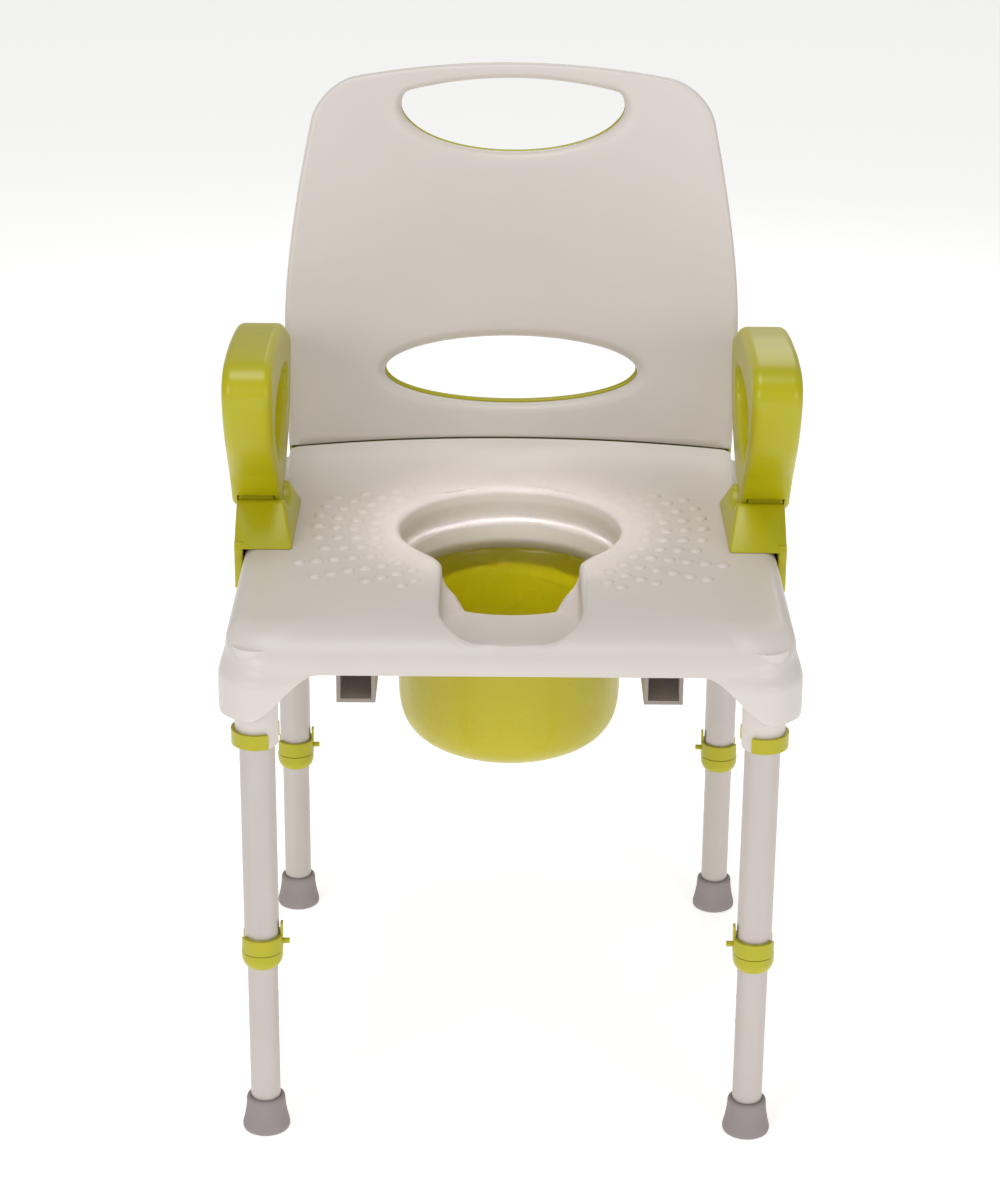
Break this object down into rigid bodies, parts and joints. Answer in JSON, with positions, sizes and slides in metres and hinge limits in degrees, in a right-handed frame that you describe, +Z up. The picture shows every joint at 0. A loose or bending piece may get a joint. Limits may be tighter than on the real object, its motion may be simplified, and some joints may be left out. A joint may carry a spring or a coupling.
{
  "type": "commode chair",
  "caption": "Moulded commode chair with a front-notched seat, slide-out bucket, lift-off armrests, handled back and legs adjustable in height.",
  "frame": {"origin": "on the floor under the middle of the chair's bounding box", "axes": "+Z up, the sitter faces -Y, +X to the right as seen from the front"},
  "size_m": [0.5, 0.5306, 0.851],
  "materials": {
    "grey_moulding": "satin moulded polypropylene, light warm grey",
    "lime_moulding": "glossy moulded polypropylene, lime green",
    "grey_rail": "satin moulded plastic, warm grey",
    "anodised_tube": "satin anodised tube",
    "grey_rubber": "moulded grey rubber",
    "screw_steel": "zinc plated"
  },
  "bodies": {
    "chair": {"seat": "grey_moulding", "back_shell": "grey_moulding", "back_cover": "lime_moulding", "shell_screws": "screw_steel", "back_screws": "screw_steel", "bracket_screws": "screw_steel", "rail_screws": "screw_steel", "arm_bracket_left": "lime_moulding", "arm_bracket_right": "lime_moulding", "rail_left": "grey_rail", "rail_right": "grey_rail", "leg_tube_front_left": "anodised_tube", "leg_collar_front_left": "lime_moulding", "height_clip_front_left": "lime_moulding", "socket_clip_front_left": "lime_moulding", "leg_tube_front_right": "anodised_tube", "leg_collar_front_right": "lime_moulding", "height_clip_front_right": "lime_moulding", "socket_clip_front_right": "lime_moulding", "leg_tube_rear_left": "anodised_tube", "leg_collar_rear_left": "lime_moulding", "height_clip_rear_left": "lime_moulding", "socket_clip_rear_left": "lime_moulding", "leg_tube_rear_right": "anodised_tube", "leg_collar_rear_right": "lime_moulding", "height_clip_rear_right": "lime_moulding", "socket_clip_rear_right": "lime_moulding"},
    "arm_left": {"armrest_left": "lime_moulding"},
    "arm_right": {"armrest_right": "lime_moulding"},
    "bucket": {"bucket": "lime_moulding"},
    "leg_front_left": {"leg_extension_front_left": "anodised_tube", "foot_front_left": "grey_rubber"},
    "leg_front_right": {"leg_extension_front_right": "anodised_tube", "foot_front_right": "grey_rubber"},
    "leg_rear_left": {"leg_extension_rear_left": "anodised_tube", "foot_rear_left": "grey_rubber"},
    "leg_rear_right": {"leg_extension_rear_right": "anodised_tube", "foot_rear_right": "grey_rubber"}
  },
  "joints": [
    {"name": "arm_left_lift", "type": "slide", "parent": "chair", "child": "arm_left", "axis": [0, 0, 1], "range_m": [0, 0.035]},
    {"name": "arm_right_lift", "type": "slide", "parent": "chair", "child": "arm_right", "axis": [0, 0, 1], "range_m": [0, 0.035]},
    {"name": "bucket_slide", "type": "slide", "parent": "chair", "child": "bucket", "axis": [0, -1, 0], "range_m": [0, 0.24]},
    {"name": "leg_front_left_height", "type": "slide", "parent": "chair", "child": "leg_front_left", "axis": [0, 0, 1], "range_m": [-0.075, 0.075]},
    {"name": "leg_front_right_height", "type": "slide", "parent": "chair", "child": "leg_front_right", "axis": [0, 0, 1], "range_m": [-0.075, 0.075]},
    {"name": "leg_rear_left_height", "type": "slide", "parent": "chair", "child": "leg_rear_left", "axis": [0, 0, 1], "range_m": [-0.075, 0.075]},
    {"name": "leg_rear_right_height", "type": "slide", "parent": "chair", "child": "leg_rear_right", "axis": [0, 0, 1], "range_m": [-0.075, 0.075]}
  ]
}
